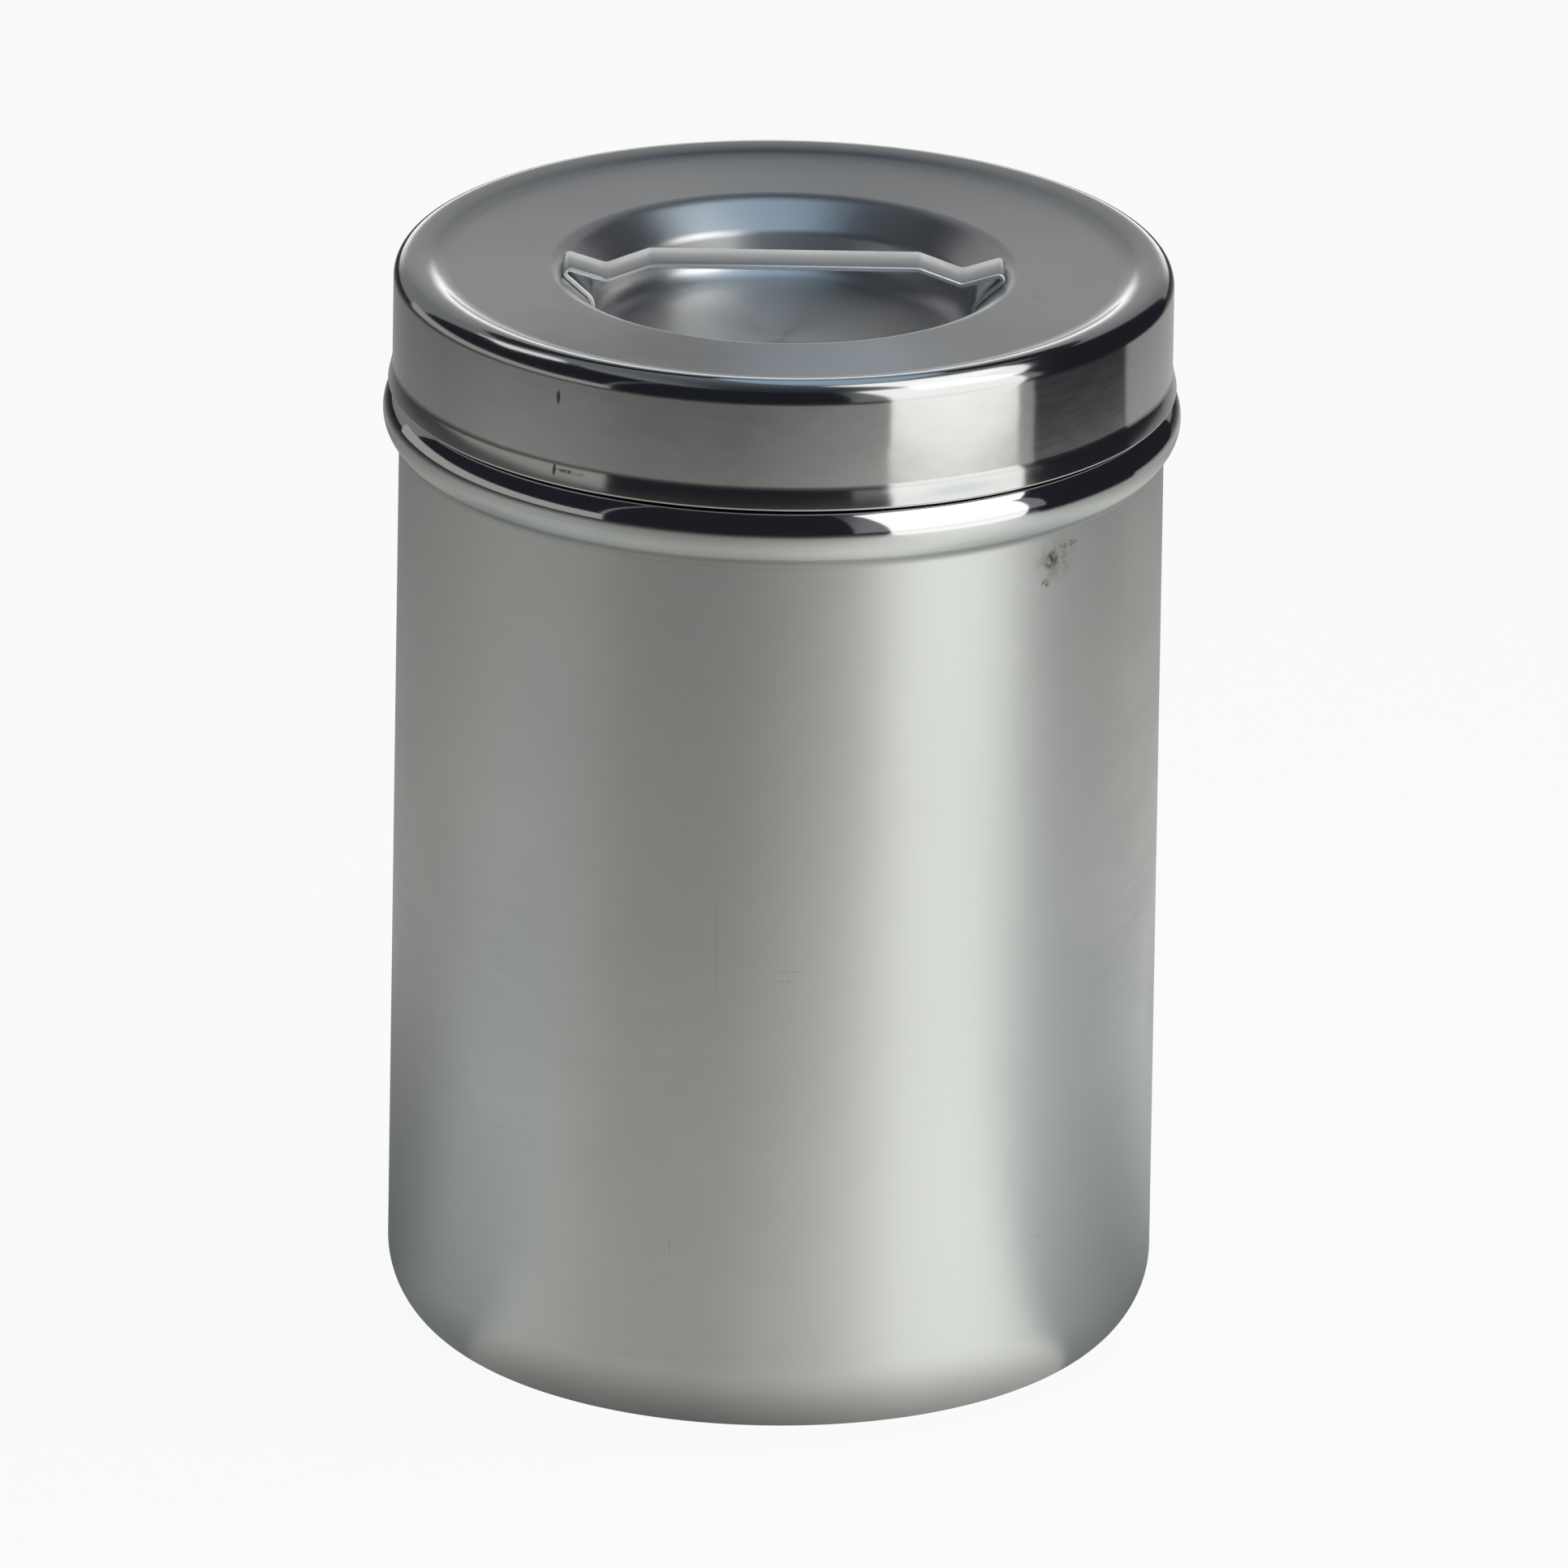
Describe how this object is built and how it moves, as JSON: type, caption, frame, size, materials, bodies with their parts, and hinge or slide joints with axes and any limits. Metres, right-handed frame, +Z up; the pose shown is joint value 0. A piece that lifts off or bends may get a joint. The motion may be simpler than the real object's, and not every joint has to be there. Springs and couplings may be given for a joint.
{
  "type": "dressing jar",
  "caption": "Round deep-drawn steel dressing jar with a slip-over lid that rests on a bead around its neck, and a strap handle set in a well in the lid.",
  "frame": {"origin": "middle of the underside of the flat base, on the jar's axis", "axes": "+Z up along the jar's axis, +X along the strap handle, the picture looks along +Y"},
  "size_m": [0.1356, 0.1356, 0.192],
  "materials": {
    "jar_steel": "satin, brushed around the body, polished on the bead",
    "lid_steel": "satin panel and skirt, polished corner and well",
    "strap_steel": "polished strip"
  },
  "bodies": {
    "jar": {"jar": "jar_steel"},
    "lid": {"lid": "lid_steel", "strap_handle": "strap_steel"}
  },
  "joints": [
    {"name": "lid_lift", "type": "slide", "parent": "jar", "child": "lid", "axis": [0, 0, 1], "range_m": [0, 0.15]}
  ]
}
